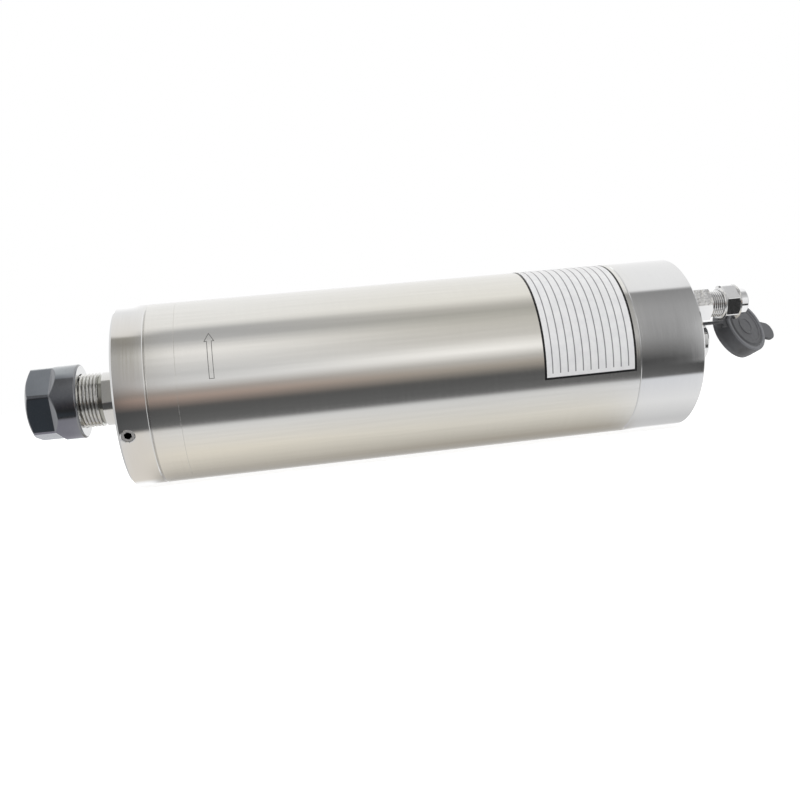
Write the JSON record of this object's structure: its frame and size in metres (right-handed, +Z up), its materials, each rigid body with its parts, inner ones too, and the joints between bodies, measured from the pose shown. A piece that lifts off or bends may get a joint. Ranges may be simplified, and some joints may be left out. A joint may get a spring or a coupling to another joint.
{
  "type": "motor spindle",
  "caption": "Round water-cooled motor spindle with a collet nut at the tool end and water fittings, a socket and a hanging dust cap at the rear.",
  "frame": {"origin": "on the spindle's axis, in the middle of the long sleeve that a clamp grips", "axes": "X along the spindle's axis with the tool end at -X and the rear cover at +X, +Z up toward the water fittings, +Y away from the viewer of the picture"},
  "size_m": [0.35, 0.08, 0.08],
  "materials": {
    "polished_steel": "polished",
    "ground_steel": "finely ground",
    "bearing_steel": "polished",
    "shaft_steel": "ground",
    "black_oxide_steel": "black oxide",
    "socket_screw_steel": "black oxide",
    "bright_steel": "turned",
    "spring_steel": "tempered",
    "jacket_aluminium": "turned",
    "core_steel": "laminated",
    "rotor_aluminium": "cast",
    "copper": "enamelled copper",
    "contact_brass": "gold plated",
    "plated_brass": "nickel plated",
    "cage_plastic": "fabric-filled resin",
    "insulator": "moulded",
    "wire_insulation": "extruded",
    "seal_rubber": "matt",
    "cap_rubber": "matt"
  },
  "bodies": {
    "housing": {"outer_sleeve": "ground_steel", "cooling_jacket": "jacket_aluminium", "water_seals": "seal_rubber", "front_bearing_housing": "ground_steel", "front_end_cap": "polished_steel", "front_cap_set_screws": "bright_steel", "front_clamp_ring": "bright_steel", "front_bearing_outer_rings": "bearing_steel", "front_outer_spacer": "ground_steel", "rear_bearing_housing": "ground_steel", "rear_disc_spring": "spring_steel", "rear_bearing_outer_rings": "bearing_steel", "rear_bearing_retainer": "bright_steel", "rear_retainer_screws": "socket_screw_steel", "stator_core": "core_steel", "stator_windings": "copper", "rear_cover": "polished_steel", "rear_cover_screws": "socket_screw_steel", "water_tubes": "plated_brass", "left_water_fitting": "plated_brass", "right_water_fitting": "plated_brass", "socket_shell": "plated_brass", "socket_insert": "insulator", "socket_pins": "contact_brass", "socket_ring_nut": "plated_brass", "lead_wires": "wire_insulation", "cap_strap": "cap_rubber"},
    "rotor": {"spindle_shaft": "shaft_steel", "rotor_core": "core_steel", "rotor_cage": "rotor_aluminium", "front_bearing_inner_rings": "bearing_steel", "rear_bearing_inner_rings": "bearing_steel", "front_inner_spacer": "ground_steel", "front_lock_nut": "black_oxide_steel", "rear_lock_nut": "black_oxide_steel"},
    "front_cage": {"front_bearing_cages": "cage_plastic", "front_bearing_balls": "bearing_steel"},
    "rear_cage": {"rear_bearing_cages": "cage_plastic", "rear_bearing_balls": "bearing_steel"},
    "collet": {"collet": "spring_steel"},
    "collet_nut": {"collet_nut": "black_oxide_steel"},
    "left_hose_sleeve": {"left_hose_sleeve": "plated_brass"},
    "left_fitting_nut": {"left_fitting_nut": "plated_brass"},
    "right_hose_sleeve": {"right_hose_sleeve": "plated_brass"},
    "right_fitting_nut": {"right_fitting_nut": "plated_brass"},
    "dust_cap": {"dust_cap": "cap_rubber"}
  },
  "joints": [
    {"name": "rotor_spin", "type": "hinge", "parent": "housing", "child": "rotor", "pos_m": [0, 0, 0], "axis": [1, 0, 0], "continuous": true},
    {"name": "front_cage_spin", "type": "hinge", "parent": "housing", "child": "front_cage", "pos_m": [0, 0, 0], "axis": [1, 0, 0], "continuous": true},
    {"name": "rear_cage_spin", "type": "hinge", "parent": "housing", "child": "rear_cage", "pos_m": [0, 0, 0], "axis": [1, 0, 0], "continuous": true},
    {"name": "collet_slide", "type": "slide", "parent": "rotor", "child": "collet", "axis": [-1, 0, 0], "range_m": [0, 0.009]},
    {"name": "nut_turn", "type": "hinge", "parent": "collet", "child": "collet_nut", "pos_m": [-0.15415, 0, 0], "axis": [-1, 0, 0], "range_deg": [0, 2160]},
    {"name": "left_hose_sleeve_slide", "type": "slide", "parent": "housing", "child": "left_hose_sleeve", "axis": [1, 0, 0], "range_m": [0, 0.005]},
    {"name": "left_fitting_nut_turn", "type": "hinge", "parent": "left_hose_sleeve", "child": "left_fitting_nut", "pos_m": [0.1495, -0.024, 0.0157], "axis": [1, 0, 0], "range_deg": [0, 1440]},
    {"name": "right_hose_sleeve_slide", "type": "slide", "parent": "housing", "child": "right_hose_sleeve", "axis": [1, 0, 0], "range_m": [0, 0.005]},
    {"name": "right_fitting_nut_turn", "type": "hinge", "parent": "right_hose_sleeve", "child": "right_fitting_nut", "pos_m": [0.1495, 0.024, 0.0157], "axis": [1, 0, 0], "range_deg": [0, 1440]},
    {"name": "cap_swing", "type": "hinge", "parent": "housing", "child": "dust_cap", "pos_m": [0.1533, -0.01294, 0.00631], "axis": [0, -0.4384, -0.8988], "range_deg": [-63.5, 25]}
  ],
  "couplings": [
    {"joint": "front_cage_spin", "follows": "rotor_spin", "ratio": 0.415},
    {"joint": "rear_cage_spin", "follows": "rotor_spin", "ratio": 0.402},
    {"joint": "collet_slide", "follows": "nut_turn", "m_per_rad": 0.00023873},
    {"joint": "left_hose_sleeve_slide", "follows": "left_fitting_nut_turn", "m_per_rad": 0.00019894},
    {"joint": "right_hose_sleeve_slide", "follows": "right_fitting_nut_turn", "m_per_rad": 0.00019894}
  ]
}
